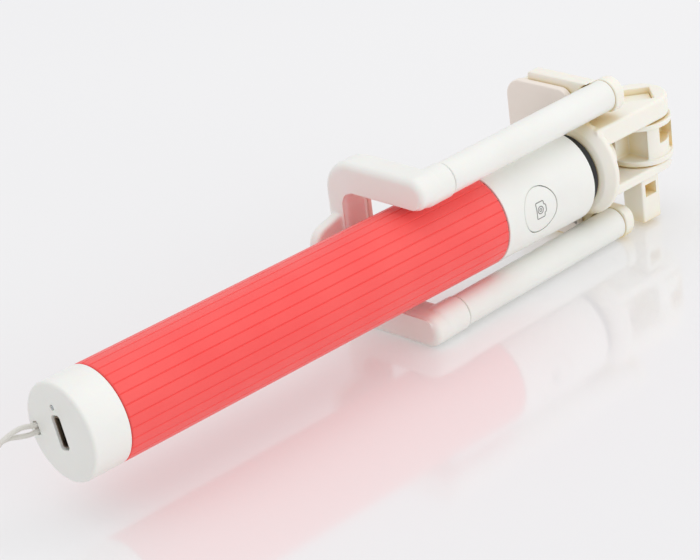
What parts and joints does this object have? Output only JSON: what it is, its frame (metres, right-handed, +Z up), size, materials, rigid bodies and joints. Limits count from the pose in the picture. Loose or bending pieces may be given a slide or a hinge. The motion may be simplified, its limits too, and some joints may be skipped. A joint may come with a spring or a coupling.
{
  "type": "selfie stick",
  "caption": "Telescopic selfie stick lying folded: fluted rubber grip, control head with shutter button, and a sprung phone clamp folded back along the handle.",
  "frame": {"origin": "bottom centre of the box round the stick and its folded clamp, on the surface that it lies on", "axes": "+X along the stick from the end cap to the clamp hinge, +Z up, +Y the side that the clamp unfolds towards"},
  "size_m": [0.273, 0.037, 0.0458],
  "materials": {
    "white_shell": "satin-gloss moulded ABS",
    "cream_shell": "satin-gloss moulded ABS, warm white",
    "coral_rubber": "matt soft-touch rubber with lengthwise flutes",
    "black_plastic": "matt black moulded plastic",
    "grey_core": "unpainted moulded plastic",
    "steel": "drawn and polished",
    "spring_steel": "bright spring wire",
    "soft_pad": "matt silicone",
    "board_green": "solder-masked circuit board",
    "cell_blue": "shrink-wrapped cell",
    "led_lens": "frosted light pipe",
    "strap_nylon": "braided nylon cord"
  },
  "bodies": {
    "handle": {"end_cap": "white_shell", "usb_socket": "steel", "charge_board": "board_green", "status_led": "led_lens", "eyelet_pin": "steel", "control_board": "board_green", "tactile_switch": "black_plastic", "battery_cell": "cell_blue", "grip_core": "grey_core", "grip_sleeve": "coral_rubber", "control_head": "white_shell", "collar_ring": "black_plastic", "pole_outer": "steel", "strap_cord_out": "strap_nylon", "strap_cord_back": "strap_nylon", "strap_hank": "strap_nylon", "strap_tie": "black_plastic"},
    "button": {"shutter_button": "white_shell"},
    "section_1": {"pole_section_1": "steel"},
    "section_2": {"pole_section_2": "steel"},
    "section_3": {"pole_section_3": "steel"},
    "section_4": {"pole_section_4": "steel"},
    "section_5": {"pole_section_5": "steel", "fork": "cream_shell", "hinge_bolt": "steel", "hinge_nut": "steel", "hinge_plug": "cream_shell", "hinge_post": "cream_shell"},
    "jaw": {"jaw_frame": "cream_shell", "jaw_pad": "soft_pad", "knuckle": "cream_shell", "knuckle_screw_1": "steel", "knuckle_screw_2": "steel", "sleeve_upper": "white_shell", "sleeve_lower": "white_shell", "sleeve_bush_upper": "black_plastic", "sleeve_bush_lower": "black_plastic", "return_spring_upper": "spring_steel", "return_spring_lower": "spring_steel"},
    "bow": {"bow": "white_shell", "bow_pad": "soft_pad", "rod_upper": "steel", "rod_lower": "steel", "rod_stop_upper": "black_plastic", "rod_stop_lower": "black_plastic"}
  },
  "joints": [
    {"name": "pole_slide_1", "type": "slide", "parent": "handle", "child": "section_1", "axis": [1, 0, 0], "range_m": [0, 0.105]},
    {"name": "pole_slide_2", "type": "slide", "parent": "section_1", "child": "section_2", "axis": [1, 0, 0], "range_m": [0, 0.105]},
    {"name": "pole_slide_3", "type": "slide", "parent": "section_2", "child": "section_3", "axis": [1, 0, 0], "range_m": [0, 0.105]},
    {"name": "pole_slide_4", "type": "slide", "parent": "section_3", "child": "section_4", "axis": [1, 0, 0], "range_m": [0, 0.105]},
    {"name": "pole_slide_5", "type": "slide", "parent": "section_4", "child": "section_5", "axis": [1, 0, 0], "range_m": [0, 0.105]},
    {"name": "clamp_hinge", "type": "hinge", "parent": "section_5", "child": "jaw", "pos_m": [0.0946, -0.0049, 0.0229], "axis": [0, 0, 1], "range_deg": [-181.9, 0]},
    {"name": "bow_slide", "type": "slide", "parent": "jaw", "child": "bow", "axis": [-0.9995, -0.0332, 0], "range_m": [0, 0.028], "stiffness_N_per_m": 150, "springref_m": -0.02, "deforming": ["return_spring_upper", "return_spring_lower"]},
    {"name": "shutter_press", "type": "slide", "parent": "handle", "child": "button", "axis": [0, 0.9966, -0.0819], "range_m": [0, 0.0006], "stiffness_N_per_m": 1500, "springref_m": -0.0006}
  ]
}
